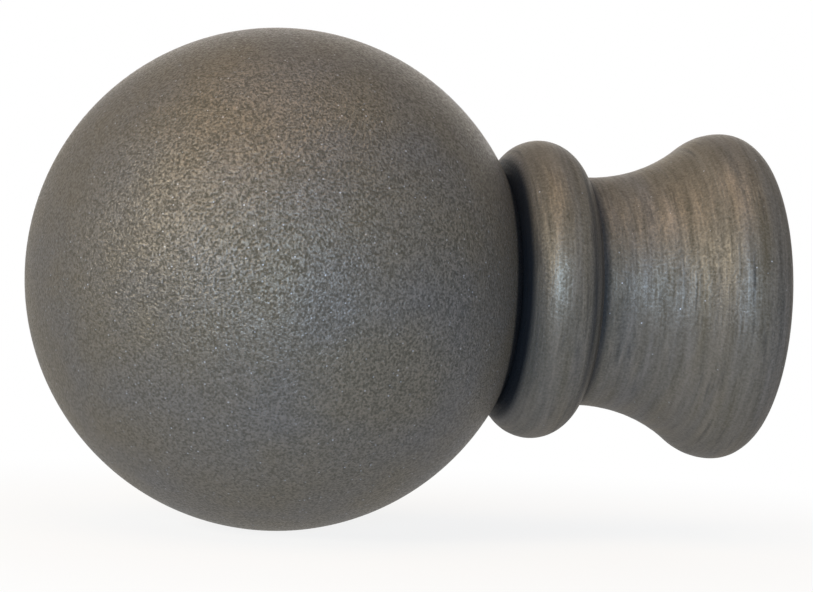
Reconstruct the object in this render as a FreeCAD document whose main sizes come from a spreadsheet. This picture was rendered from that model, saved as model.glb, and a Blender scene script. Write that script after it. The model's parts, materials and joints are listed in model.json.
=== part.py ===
import FreeCAD, Part
import math
import os
import Sketcher

# Ball finial for the end of a curtain pole, turned as one piece.
# Its axis lies along X: the ball is on the -X side, and the pole comes in from +X. Z is up.
# The origin is the centre of the socket floor, where the end of the pole seats.
# From left to right: ball, sharp groove, round bead, hollow neck, rounded lip, open socket.

NODE = "ball_finial"
FULL_TURN = 360.0
VOLUME_TOLERANCE = 1e-4

# Driving dimensions in millimetres.
SIZES = {
    # The ball, and the groove in which it meets the bead.
    "ball_diameter": 60.0,
    "groove_diameter": 27.3,
    # The bead: its largest diameter, and the radius of its round section.
    "bead_diameter": 36.4,
    "bead_radius": 4.9,
    # The neck: its waist, how far the waist lies past the bead's centre, and from there to the mouth.
    "waist_diameter": 28.0,
    "waist_offset": 5.9,
    "neck_length": 21.5,
    # The lip: the wall between its crest and the socket, and the rounding on either side of the crest.
    "lip_wall": 5.95,
    "lip_back_radius": 7.0,
    "lip_front_radius": 4.2,
    # The pole, and the blind socket that slides over its end.
    "pole_diameter": 28.0,
    "socket_clearance": 0.2,
    "socket_depth": 12.0,
    "socket_chamfer": 0.8,
}


def make_sheet(doc):
    """Puts each driving dimension in a cell of its own, with its name as the alias."""
    sheet = doc.addObject("Spreadsheet::Sheet", "Sizes")
    for row, (alias, value) in enumerate(SIZES.items(), start=1):
        sheet.set(f"A{row}", alias)
        sheet.set(f"B{row}", str(value))
        sheet.setAlias(f"B{row}", alias)
    doc.recompute()
    return sheet


def new_sketch(body, name):
    """Starts a sketch on the plane that holds the finial's axis."""
    sketch = body.newObject("Sketcher::SketchObject", name)
    plane = next(item for item in body.Origin.OriginFeatures if item.Role == "XY_Plane")
    sketch.AttachmentSupport = [(plane, "")]
    sketch.MapMode = "FlatFace"
    return sketch


def add_arc(sketch, centre, radius, start, end):
    """Adds an arc that runs anticlockwise from one point to the other."""
    first = math.atan2(start[1] - centre[1], start[0] - centre[0])
    last = math.atan2(end[1] - centre[1], end[0] - centre[0])
    circle = Part.Circle(FreeCAD.Vector(*centre, 0), FreeCAD.Vector(0, 0, 1), radius)
    return sketch.addGeometry(Part.ArcOfCircle(circle, first, last), False)


def add_line(sketch, start, end):
    """Adds a straight edge."""
    return sketch.addGeometry(Part.LineSegment(FreeCAD.Vector(*start, 0), FreeCAD.Vector(*end, 0)), False)


def constrain(sketch, *details):
    """Adds a geometric constraint."""
    sketch.addConstraint(Sketcher.Constraint(*details))


def dimension(sketch, name, expression, *details):
    """Adds a named dimension and binds it to the sheet."""
    index = sketch.addConstraint(Sketcher.Constraint(*details))
    sketch.renameConstraint(index, name)
    sketch.setExpression(f"Constraints.{name}", expression)


def draw_outline(body, sheet):
    """Draws half of the turned outline, from the ball's end round to the mouth and back along the axis.

    The arcs are first placed where the sizes put them, and the constraints then hold them there.
    """
    ball_radius = sheet.ball_diameter / 2
    groove_height = sheet.groove_diameter / 2
    bead_height = sheet.bead_diameter / 2 - sheet.bead_radius
    waist_height = sheet.waist_diameter / 2
    crest_height = sheet.pole_diameter / 2 + sheet.socket_clearance + sheet.lip_wall

    mouth_x = sheet.socket_depth
    crest_x = mouth_x - sheet.lip_front_radius
    waist_x = mouth_x - sheet.neck_length
    bead_x = waist_x - sheet.waist_offset
    groove_x = bead_x - math.sqrt(sheet.bead_radius ** 2 - (groove_height - bead_height) ** 2)
    ball_x = groove_x - math.sqrt(ball_radius ** 2 - groove_height ** 2)

    # The hollow of the neck runs into the back of the lip with no corner, which sets its radius.
    run = crest_x - waist_x
    rise = crest_height - waist_height
    back_rise = rise - sheet.lip_back_radius
    hollow_radius = (run ** 2 + back_rise ** 2 - sheet.lip_back_radius ** 2) / (2 * rise)
    hollow_centre = (waist_x, waist_height + hollow_radius)
    back_centre = (crest_x, crest_height - sheet.lip_back_radius)
    share = sheet.lip_back_radius / (hollow_radius + sheet.lip_back_radius)

    ball_end = (ball_x - ball_radius, 0.0)
    groove = (groove_x, groove_height)
    corner = (bead_x + math.sqrt(sheet.bead_radius ** 2 - (waist_height - bead_height) ** 2), waist_height)
    meeting = tuple(b + share * (h - b) for b, h in zip(back_centre, hollow_centre))
    crest = (crest_x, crest_height)
    face_edge = (mouth_x, crest_height - sheet.lip_front_radius)
    mouth_centre = (mouth_x, 0.0)

    sketch = new_sketch(body, "TurnedOutline")
    ball = add_arc(sketch, (ball_x, 0.0), ball_radius, groove, ball_end)
    bead = add_arc(sketch, (bead_x, bead_height), sheet.bead_radius, corner, groove)
    hollow = add_arc(sketch, hollow_centre, hollow_radius, corner, meeting)
    back = add_arc(sketch, back_centre, sheet.lip_back_radius, crest, meeting)
    front = add_arc(sketch, (crest_x, face_edge[1]), sheet.lip_front_radius, face_edge, crest)
    face = add_line(sketch, face_edge, mouth_centre)
    axis = add_line(sketch, mouth_centre, ball_end)
    waist = sketch.addGeometry(Part.Point(FreeCAD.Vector(waist_x, waist_height, 0)), True)

    start, end, centre = 1, 2, 3
    root = (-1, start)
    axis_line = -1
    constrain(sketch, "Coincident", ball, start, bead, end)
    constrain(sketch, "Coincident", bead, start, hollow, start)
    constrain(sketch, "Tangent", hollow, end, back, end)
    constrain(sketch, "Tangent", back, start, front, end)
    constrain(sketch, "Tangent", front, start, face, start)
    constrain(sketch, "Coincident", face, end, axis, start)
    constrain(sketch, "Coincident", axis, end, ball, end)
    constrain(sketch, "PointOnObject", face, end, axis_line)
    constrain(sketch, "PointOnObject", axis, end, axis_line)
    constrain(sketch, "PointOnObject", ball, centre, axis_line)
    constrain(sketch, "Vertical", face)
    constrain(sketch, "Vertical", front, centre, back, start)
    constrain(sketch, "PointOnObject", waist, start, hollow)
    constrain(sketch, "Vertical", waist, start, hollow, centre)

    bead_middle = "Sizes.bead_diameter / 2 - Sizes.bead_radius"
    lip_crest = "Sizes.pole_diameter / 2 + Sizes.socket_clearance + Sizes.lip_wall"
    dimension(sketch, "seat_to_mouth", "Sizes.socket_depth", "DistanceX", *root, face, end, mouth_x)
    dimension(
        sketch, "waist_to_mouth", "Sizes.neck_length", "DistanceX", waist, start, face, end, sheet.neck_length
    )
    dimension(
        sketch, "bead_to_waist", "Sizes.waist_offset", "DistanceX", bead, centre, waist, start, sheet.waist_offset
    )
    dimension(sketch, "waist_height", "Sizes.waist_diameter / 2", "DistanceY", *root, waist, start, waist_height)
    dimension(sketch, "bead_height", bead_middle, "DistanceY", *root, bead, centre, bead_height)
    dimension(sketch, "bead_section", "Sizes.bead_radius", "Radius", bead, sheet.bead_radius)
    dimension(
        sketch, "groove_height", "Sizes.groove_diameter / 2", "DistanceY", *root, ball, start, groove_height
    )
    dimension(sketch, "ball_radius", "Sizes.ball_diameter / 2", "Radius", ball, ball_radius)
    dimension(sketch, "crest_height", lip_crest, "DistanceY", *root, back, start, crest_height)
    dimension(sketch, "lip_back", "Sizes.lip_back_radius", "Radius", back, sheet.lip_back_radius)
    dimension(sketch, "lip_front", "Sizes.lip_front_radius", "Radius", front, sheet.lip_front_radius)
    return sketch


def draw_socket(body, sheet):
    """Draws half of the blind socket for the pole, with a chamfer that leads the pole in."""
    wall_height = sheet.pole_diameter / 2 + sheet.socket_clearance
    wall_end = sheet.socket_depth - sheet.socket_chamfer
    corners = [
        (0.0, 0.0),
        (0.0, wall_height),
        (wall_end, wall_height),
        (sheet.socket_depth, wall_height + sheet.socket_chamfer),
        (sheet.socket_depth, 0.0),
    ]
    sketch = new_sketch(body, "SocketOutline")
    sides = [add_line(sketch, a, b) for a, b in zip(corners, corners[1:] + corners[:1])]
    floor, wall, chamfer, mouth, axis = sides

    start, end = 1, 2
    root = (-1, start)
    for side, following in zip(sides, sides[1:] + sides[:1]):
        constrain(sketch, "Coincident", side, end, following, start)
    constrain(sketch, "Coincident", floor, start, *root)
    constrain(sketch, "Vertical", floor)
    constrain(sketch, "Horizontal", wall)
    constrain(sketch, "Vertical", mouth)
    constrain(sketch, "Horizontal", axis)

    wall_radius = "Sizes.pole_diameter / 2 + Sizes.socket_clearance"
    lead = "Sizes.socket_chamfer"
    dimension(sketch, "depth", "Sizes.socket_depth", "DistanceX", *root, mouth, end, sheet.socket_depth)
    dimension(sketch, "wall_radius", wall_radius, "DistanceY", *root, floor, end, wall_height)
    dimension(sketch, "lead_length", lead, "DistanceX", chamfer, start, chamfer, end, sheet.socket_chamfer)
    dimension(sketch, "lead_height", lead, "DistanceY", chamfer, start, chamfer, end, sheet.socket_chamfer)
    return sketch


def turn(body, kind, name, sketch):
    """Turns a sketch about the finial's axis, to add or to cut."""
    feature = body.newObject(kind, name)
    feature.Profile = sketch
    feature.ReferenceAxis = (sketch, ["H_Axis"])
    feature.Angle = FULL_TURN
    return feature


def socket_volume(sheet):
    """Gives the volume that the socket takes out: the straight bore and the chamfer's extra ring."""
    radius = sheet.pole_diameter / 2 + sheet.socket_clearance
    lead = sheet.socket_chamfer
    bore = math.pi * radius ** 2 * sheet.socket_depth
    ring = math.pi * lead ** 2 * (radius + lead / 3)
    return bore + ring


def check(doc, solid, turned, socket, sheet):
    """Stops the build where an object failed or the socket cut nothing."""
    for item in doc.Objects:
        failed = [state for state in item.State if state in ("Invalid", "Error")]
        if failed:
            raise RuntimeError(f"{item.Label} failed: {failed}")
    for sketch in doc.findObjects("Sketcher::SketchObject"):
        if not sketch.FullyConstrained:
            raise RuntimeError(f"{sketch.Label} is not fully constrained")
    if solid.isNull() or not solid.isValid() or len(solid.Solids) != 1:
        raise RuntimeError("the finial is not one valid solid")
    cut = turned.Shape.Volume - socket.Shape.Volume
    if abs(cut - socket_volume(sheet)) > VOLUME_TOLERANCE * cut:
        raise RuntimeError("the socket is not cut to its size")


def main():
    """Builds the finial and writes it out."""
    doc = FreeCAD.newDocument("Finial")
    sheet = make_sheet(doc)
    body = doc.addObject("PartDesign::Body", "Finial")
    body.Label = NODE
    body.Placement = FreeCAD.Placement()

    turned = turn(body, "PartDesign::Revolution", "TurnedBody", draw_outline(body, sheet))
    doc.recompute()
    socket = turn(body, "PartDesign::Groove", "PoleSocket", draw_socket(body, sheet))
    doc.recompute()

    check(doc, body.Shape, turned, socket, sheet)
    os.makedirs("parts", exist_ok=True)
    body.Shape.exportStep(f"parts/{body.Label}.step")


main()
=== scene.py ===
"""Dresses the ball finial of a curtain pole in gunmetal lacquer and stages it in a studio."""

import json
import logging
import math
from dataclasses import dataclass, field, replace
from enum import Enum, IntEnum
from typing import Any

import bmesh
import bpy
from mathutils import Color, Matrix, Vector, noise


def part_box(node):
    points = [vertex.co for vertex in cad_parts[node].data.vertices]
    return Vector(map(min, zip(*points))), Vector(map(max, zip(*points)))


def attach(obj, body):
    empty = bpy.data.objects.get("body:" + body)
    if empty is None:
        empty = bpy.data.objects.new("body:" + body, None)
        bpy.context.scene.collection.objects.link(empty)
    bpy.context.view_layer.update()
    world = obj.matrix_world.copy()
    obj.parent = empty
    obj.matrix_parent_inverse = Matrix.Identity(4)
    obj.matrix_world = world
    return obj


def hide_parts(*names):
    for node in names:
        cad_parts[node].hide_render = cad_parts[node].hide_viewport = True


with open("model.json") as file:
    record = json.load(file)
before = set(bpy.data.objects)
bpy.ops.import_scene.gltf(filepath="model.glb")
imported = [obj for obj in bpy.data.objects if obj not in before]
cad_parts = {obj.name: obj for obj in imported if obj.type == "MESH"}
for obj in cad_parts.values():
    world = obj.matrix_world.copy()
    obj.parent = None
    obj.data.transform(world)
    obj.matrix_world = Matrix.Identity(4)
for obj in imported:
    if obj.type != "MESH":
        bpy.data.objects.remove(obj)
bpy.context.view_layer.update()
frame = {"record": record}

NODE = "ball_finial"
PIECE = "finial_visual"
BODY = "root"
MM = 0.001
BYTE_MAX = 255
QUARTER_TURN = math.pi / 2
ACROSS = (0, 1, 1)
UP = Vector((0, 0, 1))

log = logging.getLogger("finial")

Socket = bpy.types.NodeSocket
Tree = bpy.types.NodeTree


class Zone(IntEnum):
    """The finishes on the finial, in the order of its material slots."""

    BALL = 0
    NECK = 1
    SOCKET = 2


class Shade(Enum):
    """sRGB colours of the lacquer, the bare metal and the studio."""

    PIT = "#4D4941"
    TIP = "#6F6A63"
    COOL_PIT = "#48494D"
    COOL_TIP = "#686B74"
    FLAKE = "#A6AAB4"
    # Painted shade for the groove and the corner behind the bead, and also the dark of tool lines and
    # stains.
    PATINA = "#121A24"
    EDGE = "#B4AFA6"
    BARE_METAL = "#8A8884"
    BARE_GROOVE = "#5E5C59"
    SHEET = "#F2F2F2"
    WHITE = "#FFFFFF"


def linear(shade: Shade) -> tuple[float, float, float, float]:
    """Turns an sRGB hex colour to linear values.

    Args:
        shade: The colour, written as #RRGGBB.

    Returns:
        Red, green, blue and an alpha of 1.
    """
    colour = Color([value / BYTE_MAX for value in bytes.fromhex(shade.value.lstrip("#"))])
    return (*colour.from_srgb_to_scene_linear(), 1.0)


def per_metre(size_mm: float) -> float:
    """Gives a texture's scale from the size of its features in millimetres."""
    return 1 / (size_mm * MM)


def add_node(tree: Tree, kind: str, inputs: dict[Any, Any], **settings: Any) -> bpy.types.Node:
    """Adds a node with its settings, its values and its links.

    Args:
        tree: The node tree that takes the node.
        kind: The node's type.
        inputs: For each input's name or number, a value or the output that feeds it.
        settings: Properties of the node itself.

    Returns:
        The new node.
    """
    node = tree.nodes.new(kind)
    for name, value in settings.items():
        setattr(node, name, value)
    for name, value in inputs.items():
        if isinstance(value, Socket):
            tree.links.new(value, node.inputs[name])
        else:
            node.inputs[name].default_value = value
    return node


@dataclass(frozen=True)
class Pattern:
    """What a finish draws on the surface."""

    colour: Socket
    metallic: Socket
    roughness: Socket
    height: Socket


@dataclass(frozen=True)
class Crevice:
    """A ring of painted shade in an inside corner, or the dark of a tool's line. Lengths are in mm."""

    x: float
    radius: float
    core: float
    reach: float
    strength: float


@dataclass(frozen=True)
class Finish:
    """What every finish of the finial has. Each finish draws a pattern of its own."""

    name: str
    specular: float
    relief_mm: float

    def pattern(self, tree: Tree, place: Socket) -> Pattern:
        """Draws the pattern.

        Args:
            tree: The material's nodes.
            place: The point on the surface, in the part's own frame.

        Returns:
            The pattern's outputs.
        """
        raise NotImplementedError

    def material(self) -> bpy.types.Material:
        """Builds the material around the pattern.

        Returns:
            The new material.
        """
        material = bpy.data.materials.new(self.name)
        material.use_nodes = True
        tree = material.node_tree
        tree.nodes.clear()
        place = add_node(tree, "ShaderNodeTexCoord", {}).outputs["Object"]
        drawn = self.pattern(tree, place)
        relief = add_node(
            tree, "ShaderNodeBump",
            {"Height": drawn.height, "Strength": 1.0, "Distance": self.relief_mm * MM},
        )
        shader = add_node(
            tree, "ShaderNodeBsdfPrincipled",
            {
                "Base Color": drawn.colour,
                "Metallic": drawn.metallic,
                "Roughness": drawn.roughness,
                "Specular IOR Level": self.specular,
                "Specular Tint": linear(Shade.EDGE),
                "Normal": relief.outputs["Normal"],
            },
        )
        add_node(tree, "ShaderNodeOutputMaterial", {"Surface": shader.outputs["BSDF"]})
        return material

    def outline_point(self, tree: Tree, place: Socket) -> Socket:
        """Gives the point's place on the turned outline.

        Args:
            tree: The material's nodes.
            place: The point on the surface, in the part's own frame.

        Returns:
            How far it is along the axis and out from it, as X and Y.
        """
        section = add_node(
            tree, "ShaderNodeVectorMath", {0: place, 1: ACROSS}, operation="MULTIPLY"
        ).outputs["Vector"]
        radius = add_node(tree, "ShaderNodeVectorMath", {0: section}, operation="LENGTH").outputs["Value"]
        along = add_node(tree, "ShaderNodeSeparateXYZ", {0: place}).outputs["X"]
        return add_node(tree, "ShaderNodeCombineXYZ", {"X": along, "Y": radius}).outputs["Vector"]


@dataclass(frozen=True)
class BlastedGunmetal(Finish):
    """Metal-flake gunmetal lacquer over blasted metal: a satin, sandy skin with a fine sparkle."""

    name: str = "blasted_gunmetal_lacquer"
    specular: float = 0.1
    relief_mm: float = 0.18
    grain_mm: float = 0.3
    grain_detail: float = 2.0
    pit_height: float = 0.36
    tip_height: float = 0.64
    flake_mm: float = 0.26
    flake_share: float = 0.22
    flake_chance: float = 0.975
    flake_core: float = 0.2
    flake_edge: float = 0.5
    mottle_mm: float = 11.0
    mottle_low: float = 0.35
    mottle_high: float = 0.7
    mottle_cool: float = 0.4
    pit_metallic: float = 0.05
    tip_metallic: float = 0.62
    flake_metallic: float = 0.85
    pit_roughness: float = 0.5
    tip_roughness: float = 0.34
    crevices: tuple[Crevice, ...] = ()

    def grain(self, tree: Tree, place: Socket) -> Socket:
        """Draws the blasted grain.

        Args:
            tree: The material's nodes.
            place: The point on the surface, in the part's own frame.

        Returns:
            The height of the grain, about 0.5.
        """
        # Real blasting is nearer 0.1 mm, so the grain is drawn coarser for the render to show it.
        return add_node(
            tree, "ShaderNodeTexNoise",
            {"Vector": place, "Scale": per_metre(self.grain_mm), "Detail": self.grain_detail},
        ).outputs["Fac"]

    def flakes(self, tree: Tree, place: Socket) -> tuple[Socket, Socket]:
        """Lays the metal flakes and picks the few that catch the light.

        Args:
            tree: The material's nodes.
            place: The point on the surface, in the part's own frame.

        Returns:
            How bright each flake is, and the few that catch the light, from 0 between them
            to 1 on the brightest.
        """
        # Real flakes are nearer 0.05 mm, so they are drawn larger for the render to show them.
        cells = add_node(
            tree, "ShaderNodeTexVoronoi", {"Vector": place, "Scale": per_metre(self.flake_mm)}
        ).outputs
        chance = add_node(tree, "ShaderNodeSeparateColor", {"Color": cells["Color"]}).outputs
        chosen = add_node(
            tree, "ShaderNodeMapRange", {"Value": chance["Red"], "From Min": self.flake_chance}
        ).outputs["Result"]
        spot = add_node(
            tree, "ShaderNodeMapRange",
            {
                "Value": cells["Distance"],
                "From Min": self.flake_core, "From Max": self.flake_edge,
                "To Min": 1.0, "To Max": 0.0,
            },
        ).outputs["Result"]
        bright = add_node(tree, "ShaderNodeMath", {0: chosen, 1: spot}, operation="MULTIPLY")
        return chance["Green"], bright.outputs["Value"]

    def lacquer(self, tree: Tree, place: Socket, height: Socket, cool: Socket) -> Pattern:
        """Lays the lacquer over a relief with its flakes, painted shade in corners and dark tool lines.

        Args:
            tree: The material's nodes.
            place: The point on the surface, in the part's own frame.
            height: The height of the relief.
            cool: How far the colour goes from brown to blue-grey.

        Returns:
            The pattern's outputs.
        """
        each, flakes = self.flakes(tree, place)
        shown = add_node(
            tree, "ShaderNodeMix",
            {"Factor": self.flake_share, "A": height, "B": each},
            data_type="FLOAT",
        ).outputs["Result"]
        tips = add_node(
            tree, "ShaderNodeMapRange",
            {"Value": shown, "From Min": self.pit_height, "From Max": self.tip_height},
        ).outputs["Result"]
        warm_skin = add_node(
            tree, "ShaderNodeMix",
            {"Factor": tips, "A": linear(Shade.PIT), "B": linear(Shade.TIP)},
            data_type="RGBA",
        ).outputs["Result"]
        cool_skin = add_node(
            tree, "ShaderNodeMix",
            {"Factor": tips, "A": linear(Shade.COOL_PIT), "B": linear(Shade.COOL_TIP)},
            data_type="RGBA",
        ).outputs["Result"]
        skin = add_node(
            tree, "ShaderNodeMix",
            {"Factor": cool, "A": warm_skin, "B": cool_skin},
            data_type="RGBA",
        ).outputs["Result"]
        colour = add_node(
            tree, "ShaderNodeMix",
            {"Factor": flakes, "A": skin, "B": linear(Shade.FLAKE)},
            data_type="RGBA",
        ).outputs["Result"]
        point = self.outline_point(tree, place)
        # Each ring darkens the colour: painted shade in the groove and the corner behind the bead, dark
        # tool lines on the bead's flank.
        for crevice in self.crevices:
            ring = (crevice.x * MM, crevice.radius * MM, 0)
            away = add_node(tree, "ShaderNodeVectorMath", {0: point, 1: ring}, operation="DISTANCE")
            shade_and_line = add_node(
                tree, "ShaderNodeMapRange",
                {
                    "Value": away.outputs["Value"],
                    "From Min": crevice.core * MM, "From Max": crevice.reach * MM,
                    "To Min": crevice.strength, "To Max": 0.0,
                },
            ).outputs["Result"]
            colour = add_node(
                tree, "ShaderNodeMix",
                {"Factor": shade_and_line, "A": colour, "B": linear(Shade.PATINA)},
                data_type="RGBA",
            ).outputs["Result"]
        rubbed = add_node(
            tree, "ShaderNodeMapRange",
            {"Value": tips, "To Min": self.pit_metallic, "To Max": self.tip_metallic},
        ).outputs["Result"]
        metallic = add_node(
            tree, "ShaderNodeMix",
            {"Factor": flakes, "A": rubbed, "B": self.flake_metallic},
            data_type="FLOAT",
        ).outputs["Result"]
        roughness = add_node(
            tree, "ShaderNodeMapRange",
            {"Value": tips, "To Min": self.pit_roughness, "To Max": self.tip_roughness},
        ).outputs["Result"]
        return Pattern(colour=colour, metallic=metallic, roughness=roughness, height=height)

    def pattern(self, tree: Tree, place: Socket) -> Pattern:
        """Draws the grain and faint cooler patches.

        Args:
            tree: The material's nodes.
            place: The point on the surface, in the part's own frame.

        Returns:
            The pattern's outputs.
        """
        patches = add_node(
            tree, "ShaderNodeTexNoise", {"Vector": place, "Scale": per_metre(self.mottle_mm)}
        )
        cool = add_node(
            tree, "ShaderNodeMapRange",
            {
                "Value": patches.outputs["Fac"],
                "From Min": self.mottle_low, "From Max": self.mottle_high,
                "To Max": self.mottle_cool,
            },
        )
        return self.lacquer(tree, place, self.grain(tree, place), cool.outputs["Result"])


@dataclass(frozen=True)
class Brushing:
    """One set of marks that the brush leaves as the work turns."""

    width_mm: float
    changes_per_radian: float


@dataclass(frozen=True)
class BrushedGunmetal(BlastedGunmetal):
    """The same lacquer brushed on the lathe: soft brown and blue-grey streaks round the neck."""

    name: str = "brushed_gunmetal_lacquer"
    relief_mm: float = 0.16
    flake_chance: float = 0.996
    flake_share: float = 0.06
    tip_metallic: float = 0.68
    pit_roughness: float = 0.55
    tip_roughness: float = 0.43
    bands: Brushing = Brushing(width_mm=2.6, changes_per_radian=0.8)
    streaks: Brushing = Brushing(width_mm=1.0, changes_per_radian=1.6)
    # Real hairs are nearer 0.1 mm wide, so they are drawn wider for the render to show them.
    hairs: Brushing = Brushing(width_mm=0.32, changes_per_radian=4.0)
    stains: Brushing = Brushing(width_mm=0.7, changes_per_radian=2.2)
    pit_height: float = 0.37
    tip_height: float = 0.62
    hair_share: float = 0.45
    grain_share: float = 0.34
    stain_low: float = 0.6
    stain_high: float = 0.78
    stain_strength: float = 0.5

    def brushed(self, tree: Tree, place: Socket, marks: Brushing) -> Socket:
        """Draws noise that is narrow along the outline and long round the axis, with no seam.

        Args:
            tree: The material's nodes.
            place: The point on the surface, in the part's own frame.
            marks: The width of the marks and how soon they change round the axis.

        Returns:
            The height of the marks, about 0.5.
        """
        scale = per_metre(marks.width_mm)
        turn = (0, marks.changes_per_radian, marks.changes_per_radian)
        section = add_node(
            tree, "ShaderNodeVectorMath", {0: place, 1: ACROSS}, operation="MULTIPLY"
        ).outputs["Vector"]
        around = add_node(tree, "ShaderNodeVectorMath", {0: section}, operation="NORMALIZE")
        along = add_node(
            tree, "ShaderNodeVectorMath", {0: place, 1: (scale, 0, 0)}, operation="MULTIPLY"
        )
        stretched = add_node(
            tree, "ShaderNodeVectorMath",
            {0: around.outputs["Vector"], 1: turn, 2: along.outputs["Vector"]},
            operation="MULTIPLY_ADD",
        )
        radius = add_node(tree, "ShaderNodeVectorMath", {0: section}, operation="LENGTH")
        outward = add_node(
            tree, "ShaderNodeMath", {0: radius.outputs["Value"], 1: scale}, operation="MULTIPLY"
        )
        return add_node(
            tree, "ShaderNodeTexNoise",
            {"Vector": stretched.outputs["Vector"], "W": outward.outputs["Value"], "Scale": 1.0},
            noise_dimensions="4D",
        ).outputs["Fac"]

    def pattern(self, tree: Tree, place: Socket) -> Pattern:
        """Draws the bands, the streaks and the hairs of the brush over the grain.

        Args:
            tree: The material's nodes.
            place: The point on the surface, in the part's own frame.

        Returns:
            The pattern's outputs.
        """
        marks = add_node(
            tree, "ShaderNodeMix",
            {
                "Factor": self.hair_share,
                "A": self.brushed(tree, place, self.streaks),
                "B": self.brushed(tree, place, self.hairs),
            },
            data_type="FLOAT",
        ).outputs["Result"]
        both = add_node(
            tree, "ShaderNodeMix",
            {"Factor": self.grain_share, "A": marks, "B": self.grain(tree, place)},
            data_type="FLOAT",
        ).outputs["Result"]
        cool = add_node(
            tree, "ShaderNodeMapRange",
            {
                "Value": self.brushed(tree, place, self.bands),
                "From Min": self.mottle_low, "From Max": self.mottle_high,
                "To Max": self.mottle_cool,
            },
        ).outputs["Result"]
        clean = self.lacquer(tree, place, both, cool)
        stain = add_node(
            tree, "ShaderNodeMapRange",
            {
                "Value": self.brushed(tree, place, self.stains),
                "From Min": self.stain_low, "From Max": self.stain_high,
                "To Max": self.stain_strength,
            },
        ).outputs["Result"]
        colour = add_node(
            tree, "ShaderNodeMix",
            {"Factor": stain, "A": clean.colour, "B": linear(Shade.PATINA)},
            data_type="RGBA",
        ).outputs["Result"]
        return replace(clean, colour=colour)


@dataclass(frozen=True)
class BoredMetal(Finish):
    """Bare zinc alloy bored on the lathe: fine bright rings inside the socket."""

    name: str = "bored_zinc_alloy"
    specular: float = 0.5
    relief_mm: float = 0.03
    ring_mm: float = 0.35
    groove_metallic: float = 0.7
    crest_metallic: float = 0.95
    groove_roughness: float = 0.5
    crest_roughness: float = 0.3

    def pattern(self, tree: Tree, place: Socket) -> Pattern:
        """Draws the rings that the boring tool leaves.

        Args:
            tree: The material's nodes.
            place: The point on the surface, in the part's own frame.

        Returns:
            The pattern's outputs.
        """
        outline = self.outline_point(tree, place)
        point = add_node(tree, "ShaderNodeSeparateXYZ", {0: outline}).outputs
        travel = add_node(
            tree, "ShaderNodeMath", {0: point["X"], 1: point["Y"]}, operation="SUBTRACT"
        ).outputs["Value"]
        # Real rings are nearer 0.1 mm, so they are drawn wider for the render to show them.
        rings = add_node(
            tree, "ShaderNodeTexNoise",
            {"W": travel, "Scale": per_metre(self.ring_mm)},
            noise_dimensions="1D",
        ).outputs["Fac"]
        colour = add_node(
            tree, "ShaderNodeMix",
            {"Factor": rings, "A": linear(Shade.BARE_GROOVE), "B": linear(Shade.BARE_METAL)},
            data_type="RGBA",
        ).outputs["Result"]
        metallic = add_node(
            tree, "ShaderNodeMapRange",
            {"Value": rings, "To Min": self.groove_metallic, "To Max": self.crest_metallic},
        ).outputs["Result"]
        roughness = add_node(
            tree, "ShaderNodeMapRange",
            {"Value": rings, "To Min": self.groove_roughness, "To Max": self.crest_roughness},
        ).outputs["Result"]
        return Pattern(colour=colour, metallic=metallic, roughness=roughness, height=rings)


@dataclass
class Outline:
    """Half of a turned outline that grows from its tip in the XZ plane. Lengths are in mm."""

    bm: bmesh.types.BMesh
    tip: bmesh.types.BMVert
    brushed: list[tuple[bmesh.types.BMVert, Vector]] = field(default_factory=list)

    def arc(self, centre: Vector, angle: float, step: float, brushed: bool = False) -> None:
        """Carries the outline on round an arc, clockwise as seen with the mouth to the right.

        Args:
            centre: The arc's centre, along the axis and out from it.
            angle: How far the arc goes, in radians. Less than 0 goes round a hollow.
            step: The length of one edge.
            brushed: Whether the lathe's brush leaves rings here.
        """
        middle = Vector((centre.x, 0, centre.y)) * MM
        length = (self.tip.co - middle).length * abs(angle) / MM
        count = len(self.bm.verts)
        made = bmesh.ops.spin(
            self.bm, geom=[self.tip], cent=middle, axis=(0, 1, 0),
            angle=angle, steps=round(length / step),
        )["geom_last"]
        self.tip = next(item for item in made if isinstance(item, bmesh.types.BMVert))
        if brushed:
            self.bm.verts.ensure_lookup_table()
            side = math.copysign(1, angle)
            fresh = self.bm.verts[count:]
            self.brushed += [(vert, side * (vert.co - middle).normalized()) for vert in fresh]

    def line(self, x: float, radius: float) -> None:
        """Carries the outline straight on to a point.

        Args:
            x: How far along the axis it is.
            radius: How far out from the axis it is.
        """
        self.tip = bmesh.ops.extrude_vert_indiv(self.bm, verts=[self.tip])["verts"][0]
        self.tip.co = Vector((x, 0, radius)) * MM

    def brush(self, width: float, depth: float) -> None:
        """Cuts the rings of the lathe's brush into the brushed arcs.

        Args:
            width: The width of a ring.
            depth: How far a ring goes in or out.
        """
        for vert, out in self.brushed:
            vert.co += noise.noise(vert.co / (width * MM)) * depth * MM * out


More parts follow.
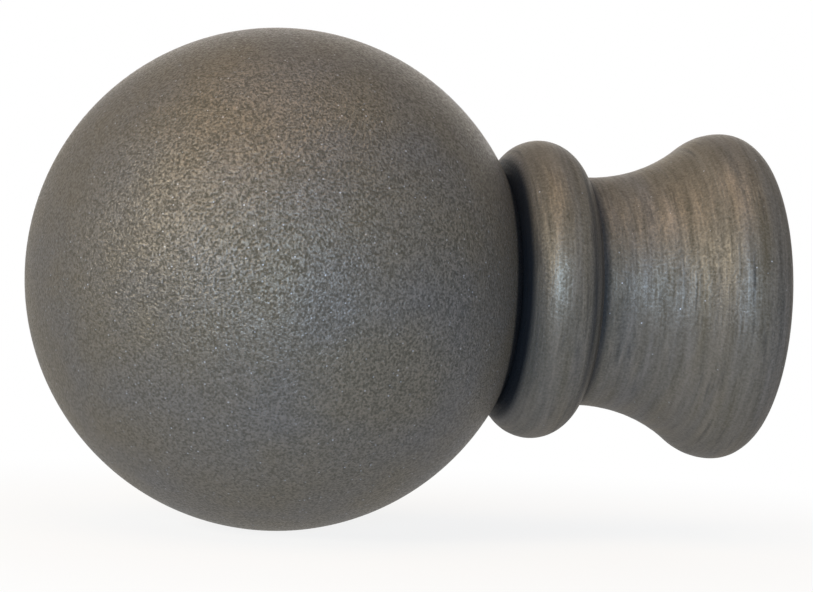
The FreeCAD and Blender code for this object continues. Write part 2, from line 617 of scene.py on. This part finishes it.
@dataclass
class TurnedFinial:
    """The finial, turned about X, with the end of the pole seated at the origin.

    Lengths are in millimetres and angles in radians.
    """

    mouth_x: float
    socket_radius: float
    ball_radius: float = 30.0
    groove_radius: float = 13.65
    bead_crest: float = 18.2
    bead_round: float = 4.9
    waist_radius: float = 14.0
    waist_offset: float = 5.9
    neck_length: float = 21.5
    lip_crest: float = 20.15
    lip_back_round: float = 7.0
    lip_front_round: float = 4.2
    socket_chamfer: float = 0.8
    ball_step: float = 0.9
    brushed_step: float = 0.14
    turn_steps: int = 216
    ring_width: float = 0.7
    ring_depth: float = 0.015
    # How wide and how dark the painted shade is in the groove and in the corner behind the bead.
    groove_core: float = 2.0
    groove_reach: float = 2.9
    groove_painted_shade: float = 0.87
    corner_core: float = 0.4
    corner_reach: float = 1.2
    corner_painted_shade: float = 0.7
    flank_lines: tuple[float, ...] = (math.radians(30), math.radians(52))
    line_core: float = 0.05
    line_reach: float = 0.75
    line_patina: float = 0.45
    crease: float = math.radians(25)
    slack: float = 0.001

    @property
    def waist_x(self) -> float:
        """Where the neck is narrowest."""
        return self.mouth_x - self.neck_length

    @property
    def bead(self) -> Vector:
        """The centre of the bead's round."""
        return Vector((self.waist_x - self.waist_offset, self.bead_crest - self.bead_round))

    @property
    def groove(self) -> Vector:
        """Works out the bottom of the groove, where the ball meets the bead.

        Returns:
            The point on the outline.
        """
        rise = self.groove_radius - self.bead.y
        run = math.sqrt(self.bead_round ** 2 - rise ** 2)
        return Vector((self.bead.x - run, self.groove_radius))

    @property
    def ball(self) -> Vector:
        """The centre of the ball."""
        run = math.sqrt(self.ball_radius ** 2 - self.groove_radius ** 2)
        return Vector((self.groove.x - run, 0))

    @property
    def lip_back(self) -> Vector:
        """The centre of the round at the back of the lip."""
        return Vector((self.mouth_x - self.lip_front_round, self.lip_crest - self.lip_back_round))

    @property
    def hollow(self) -> Vector:
        """Works out the neck's hollow, which touches the waist and the back of the lip.

        Returns:
            The centre of the hollow.
        """
        run = self.lip_back.x - self.waist_x
        rise = self.lip_back.y - self.waist_radius
        spare = run ** 2 + rise ** 2 - self.lip_back_round ** 2
        reach = spare / (2 * (rise + self.lip_back_round))
        return Vector((self.waist_x, self.waist_radius + reach))

    @property
    def corner(self) -> Vector:
        """Works out the corner behind the bead, where its round meets the hollow.

        Returns:
            The point on the outline.
        """
        reach = self.hollow.y - self.waist_radius
        gap = self.bead - self.hollow
        along = (reach ** 2 - self.bead_round ** 2 + gap.length_squared) / (2 * gap.length)
        across = math.sqrt(reach ** 2 - along ** 2)
        ahead = gap.normalized()
        return self.hollow + along * ahead + across * ahead.orthogonal()

    def flank(self, angle: float) -> Vector:
        """Gives the point on the bead's round at an angle up from the axis, on the neck's side."""
        return self.bead + self.bead_round * Vector((math.cos(angle), math.sin(angle)))

    @staticmethod
    def bearing(centre: Vector, point: Vector) -> float:
        """Gives the direction from a centre to a point, from 0 to a full turn."""
        return math.atan2(point.y - centre.y, point.x - centre.x) % math.tau

    def draw(self, bm: bmesh.types.BMesh) -> None:
        """Draws half of the outline, from the ball's end to the centre of the socket floor.

        Args:
            bm: The mesh that takes the outline.
        """
        lip_front = Vector((self.lip_back.x, self.lip_crest - self.lip_front_round))
        flare = self.bearing(self.hollow, self.lip_back)
        ball_turn = math.pi - self.bearing(self.ball, self.groove)
        bead_turn = self.bearing(self.bead, self.groove) - self.bearing(self.bead, self.corner)
        hollow_turn = self.bearing(self.hollow, self.corner) - flare
        lip_turn = flare - math.pi - QUARTER_TURN
        start = bm.verts.new(((self.ball.x - self.ball_radius) * MM, 0, 0))
        outline = Outline(bm, start)
        outline.arc(self.ball, ball_turn, self.ball_step)
        outline.arc(self.bead, bead_turn, self.brushed_step, brushed=True)
        outline.arc(self.hollow, hollow_turn, self.brushed_step, brushed=True)
        outline.arc(self.lip_back, lip_turn, self.brushed_step, brushed=True)
        outline.arc(lip_front, QUARTER_TURN, self.brushed_step, brushed=True)
        outline.line(self.mouth_x, self.socket_radius + self.socket_chamfer)
        outline.line(self.mouth_x - self.socket_chamfer, self.socket_radius)
        outline.line(0.0, self.socket_radius)
        outline.line(0.0, 0.0)
        outline.brush(self.ring_width, self.ring_depth)

    def zone(self, face: bmesh.types.BMFace) -> Zone:
        """Says which finish a face has.

        Args:
            face: A face of the turned mesh.

        Returns:
            The finish.
        """
        middle = face.calc_center_median() / MM
        if middle.x < self.groove.x:
            return Zone.BALL
        if middle.x > -self.slack and middle.yz.length < self.socket_radius + self.slack:
            return Zone.SOCKET
        return Zone.NECK

    def build(self) -> bpy.types.Object:
        """Turns the outline into one closed mesh.

        Returns:
            The finial's object.
        """
        bm = bmesh.new()
        self.draw(bm)
        bmesh.ops.spin(
            bm, geom=bm.verts[:] + bm.edges[:], cent=(0, 0, 0), axis=(1, 0, 0),
            angle=math.tau, steps=self.turn_steps, use_merge=True,
        )
        bmesh.ops.remove_doubles(bm, verts=bm.verts[:], dist=self.slack * MM)
        bmesh.ops.recalc_face_normals(bm, faces=bm.faces[:])
        for face in bm.faces:
            face.smooth = True
            face.material_index = self.zone(face)
        for edge in bm.edges:
            edge.smooth = edge.calc_face_angle(0.0) < self.crease
        mesh = bpy.data.meshes.new(PIECE)
        bm.to_mesh(mesh)
        bm.free()
        piece = bpy.data.objects.new(PIECE, mesh)
        bpy.context.scene.collection.objects.link(piece)
        return piece

    def dress(self, piece: bpy.types.Object) -> None:
        """Gives the mesh its finishes.

        Args:
            piece: The finial's object.
        """
        # The groove and the corner behind the bead get painted shade. The flank lines are dark tool
        # lines.
        crevices = (
            Crevice(*self.groove, self.groove_core, self.groove_reach, self.groove_painted_shade),
            Crevice(*self.corner, self.corner_core, self.corner_reach, self.corner_painted_shade),
        )
        lines = tuple(
            Crevice(*self.flank(angle), self.line_core, self.line_reach, self.line_patina)
            for angle in self.flank_lines
        )
        finishes = {
            Zone.BALL: BlastedGunmetal(crevices=crevices),
            Zone.NECK: BrushedGunmetal(crevices=crevices + lines),
            Zone.SOCKET: BoredMetal(),
        }
        for zone in Zone:
            piece.data.materials.append(finishes[zone].material())


@dataclass(frozen=True)
class SoftBox:
    """A square studio lamp that faces the finial. Lengths are in metres and angles in degrees.

    Azimuth 0 is the front, and 90 is the mouth's side.
    """

    name: str
    azimuth: float
    elevation: float
    size: float
    watts: float
    tint: tuple[float, float, float]
    distance: float = 0.6

    def build(self, aim: Vector) -> None:
        """Hangs the lamp.

        Args:
            aim: The point that it faces.
        """
        lamp = bpy.data.lights.new(self.name, "AREA")
        lamp.shape = "SQUARE"
        lamp.size = self.size
        lamp.energy = self.watts
        lamp.color = self.tint
        azimuth = math.radians(self.azimuth)
        elevation = math.radians(self.elevation)
        level = Vector((math.sin(azimuth), -math.cos(azimuth), 0))
        out = math.cos(elevation) * level + math.sin(elevation) * UP
        hung = bpy.data.objects.new(self.name, lamp)
        hung.location = aim + self.distance * out
        hung.rotation_euler = (-out).to_track_quat("-Z", "Y").to_euler()
        bpy.context.scene.collection.objects.link(hung)


@dataclass(frozen=True)
class PhotoCamera:
    """The camera, level with the finial and turned a little towards its ball.

    Lengths are in millimetres and angles in degrees.
    """

    aim: tuple[float, float, float] = (-31.15, 0.0, -1.4)
    azimuth: float = 12.45
    roll: float = 2.16
    distance: float = 302.9
    focal_px: float = 2500.0
    image_px: float = 813.0
    sensor: float = 36.0

    def build(self) -> None:
        """Sets the camera up and makes it the scene's own."""
        lens = bpy.data.cameras.new("photo_camera")
        lens.sensor_width = self.sensor
        lens.lens = self.focal_px / self.image_px * self.sensor
        azimuth = math.radians(self.azimuth)
        roll = math.radians(self.roll)
        ahead = Vector((math.sin(azimuth), math.cos(azimuth), 0))
        right = math.cos(roll) * ahead.cross(UP) + math.sin(roll) * UP
        turn = Matrix((right, right.cross(ahead), -ahead)).transposed().to_4x4()
        stand = (Vector(self.aim) - self.distance * ahead) * MM
        camera = bpy.data.objects.new("photo_camera", lens)
        camera.matrix_world = Matrix.Translation(stand) @ turn
        bpy.context.scene.collection.objects.link(camera)
        bpy.context.scene.camera = camera


@dataclass(frozen=True)
class Studio:
    """A white sheet under the ball, a white room and soft lamps. Lengths are in metres."""

    floor_size: float = 6.0
    room_level: float = 0.02
    shadow_share: float = 0.15
    shadow_reach: float = 0.13
    pool_x: float = -0.1
    pool_y: float = -0.03
    pool_core: float = 0.11
    pool_reach: float = 0.22
    pool_bounce: float = 1.0
    far_bounce: float = 0.15
    lamps: tuple[SoftBox, ...] = (
        SoftBox("front_lamp", azimuth=-15, elevation=6, size=0.12, watts=2.35, tint=(0.47, 0.72, 1.0)),
        SoftBox("key_lamp", azimuth=-57, elevation=20, size=0.18, watts=2.25, tint=(1.0, 0.88, 0.64)),
        SoftBox("top_lamp", azimuth=-40, elevation=70, size=0.5, watts=1.95, tint=(1.0, 0.63, 0.3)),
        SoftBox("back_lamp", azimuth=165, elevation=12, size=0.5, watts=1.2, tint=(1.0, 0.97, 0.93)),
    )

    def build(self, aim: Vector, floor_z: float) -> None:
        """Builds the floor, the room and the lamps.

        Args:
            aim: The point that the lamps face.
            floor_z: The height of the floor.
        """
        bpy.context.scene.view_settings.view_transform = "Standard"
        bm = bmesh.new()
        bmesh.ops.create_grid(bm, x_segments=1, y_segments=1, size=self.floor_size)
        bmesh.ops.translate(bm, verts=bm.verts[:], vec=(aim.x, aim.y, floor_z))
        mesh = bpy.data.meshes.new("floor")
        bm.to_mesh(mesh)
        bm.free()
        mesh.materials.append(self.sheet(aim, floor_z))
        floor = bpy.data.objects.new("floor", mesh)
        bpy.context.scene.collection.objects.link(floor)
        self.room()
        for lamp in self.lamps:
            lamp.build(aim)

    def seen(self, tree: Tree) -> Socket:
        """Tells what is seen, straight or in gloss or glass, from light that falls on things.

        Args:
            tree: The nodes of the sheet or the room.

        Returns:
            1 for what is seen, and 0 for the rest.
        """
        rays = add_node(tree, "ShaderNodeLightPath", {}).outputs
        mirrored = add_node(
            tree, "ShaderNodeMath",
            {0: rays["Is Glossy Ray"], 1: rays["Is Transmission Ray"]},
            operation="MAXIMUM",
        ).outputs["Value"]
        return add_node(
            tree, "ShaderNodeMath", {0: rays["Is Camera Ray"], 1: mirrored}, operation="MAXIMUM"
        ).outputs["Value"]

    def sheet(self, aim: Vector, floor_z: float) -> bpy.types.Material:
        """Makes a matt white sheet that keeps the shadow and fades to plain white round it.

        Args:
            aim: The point that the shadow lies under.
            floor_z: The height of the floor.

        Returns:
            The new material.
        """
        material = bpy.data.materials.new("matt_white_sheet")
        material.use_nodes = True
        tree = material.node_tree
        tree.nodes.clear()
        under = (aim.x, aim.y, floor_z)
        pool = (aim.x + self.pool_x, aim.y + self.pool_y, floor_z)
        place = add_node(tree, "ShaderNodeTexCoord", {}).outputs["Object"]
        away = add_node(tree, "ShaderNodeVectorMath", {0: place, 1: under}, operation="DISTANCE")
        glowing = add_node(
            tree, "ShaderNodeMapRange",
            {
                "Value": away.outputs["Value"],
                "From Min": 0.0, "From Max": self.shadow_reach,
                "To Min": 1 - self.shadow_share, "To Max": 1.0,
            },
            interpolation_type="SMOOTHSTEP",
        )
        off_pool = add_node(tree, "ShaderNodeVectorMath", {0: place, 1: pool}, operation="DISTANCE")
        # A painted pool of bounce light: for light that falls on the finial, the sheet glows brightest to
        # the front left of the ball and dimmer further off.
        bounce = add_node(
            tree, "ShaderNodeMapRange",
            {
                "Value": off_pool.outputs["Value"],
                "From Min": self.pool_core, "From Max": self.pool_reach,
                "To Min": self.pool_bounce, "To Max": self.far_bounce,
            },
            interpolation_type="SMOOTHSTEP",
        )
        share = add_node(
            tree, "ShaderNodeMapRange",
            {
                "Value": self.seen(tree),
                "To Min": bounce.outputs["Result"], "To Max": glowing.outputs["Result"],
            },
        )
        matt = add_node(tree, "ShaderNodeBsdfDiffuse", {"Color": linear(Shade.SHEET)})
        glow = add_node(tree, "ShaderNodeEmission", {"Color": linear(Shade.WHITE), "Strength": 1.0})
        both = add_node(
            tree, "ShaderNodeMixShader",
            {0: share.outputs["Result"], 1: matt.outputs["BSDF"], 2: glow.outputs["Emission"]},
        )
        add_node(tree, "ShaderNodeOutputMaterial", {"Surface": both.outputs["Shader"]})
        return material

    def room(self) -> None:
        """Makes the room white where it is seen, and dimmer where it only lights the finial."""
        world = bpy.data.worlds.new("white_room")
        world.use_nodes = True
        tree = world.node_tree
        tree.nodes.clear()
        level = add_node(
            tree, "ShaderNodeMapRange",
            {"Value": self.seen(tree), "To Min": self.room_level, "To Max": 1.0},
        )
        glow = add_node(
            tree, "ShaderNodeBackground",
            {"Color": linear(Shade.WHITE), "Strength": level.outputs["Result"]},
        )
        add_node(tree, "ShaderNodeOutputWorld", {"Surface": glow.outputs["Background"]})
        bpy.context.scene.world = world


def main() -> None:
    """Builds the finial, the studio and the camera."""
    logging.basicConfig(level=logging.INFO, format="%(name)s: %(message)s")
    low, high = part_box(NODE)
    mount = frame["record"]["mounts"][0]["dims"]
    turned = TurnedFinial(mouth_x=high.x / MM, socket_radius=mount["r_mm"])
    finial = turned.build()
    turned.dress(finial)
    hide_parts(NODE)
    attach(finial, BODY)
    log.info("%s: %d faces", finial.name, len(finial.data.polygons))
    Studio().build((low + high) / 2, low.z)
    PhotoCamera().build()
    log.info("studio and camera are set")


if __name__ == "__main__":
    main()
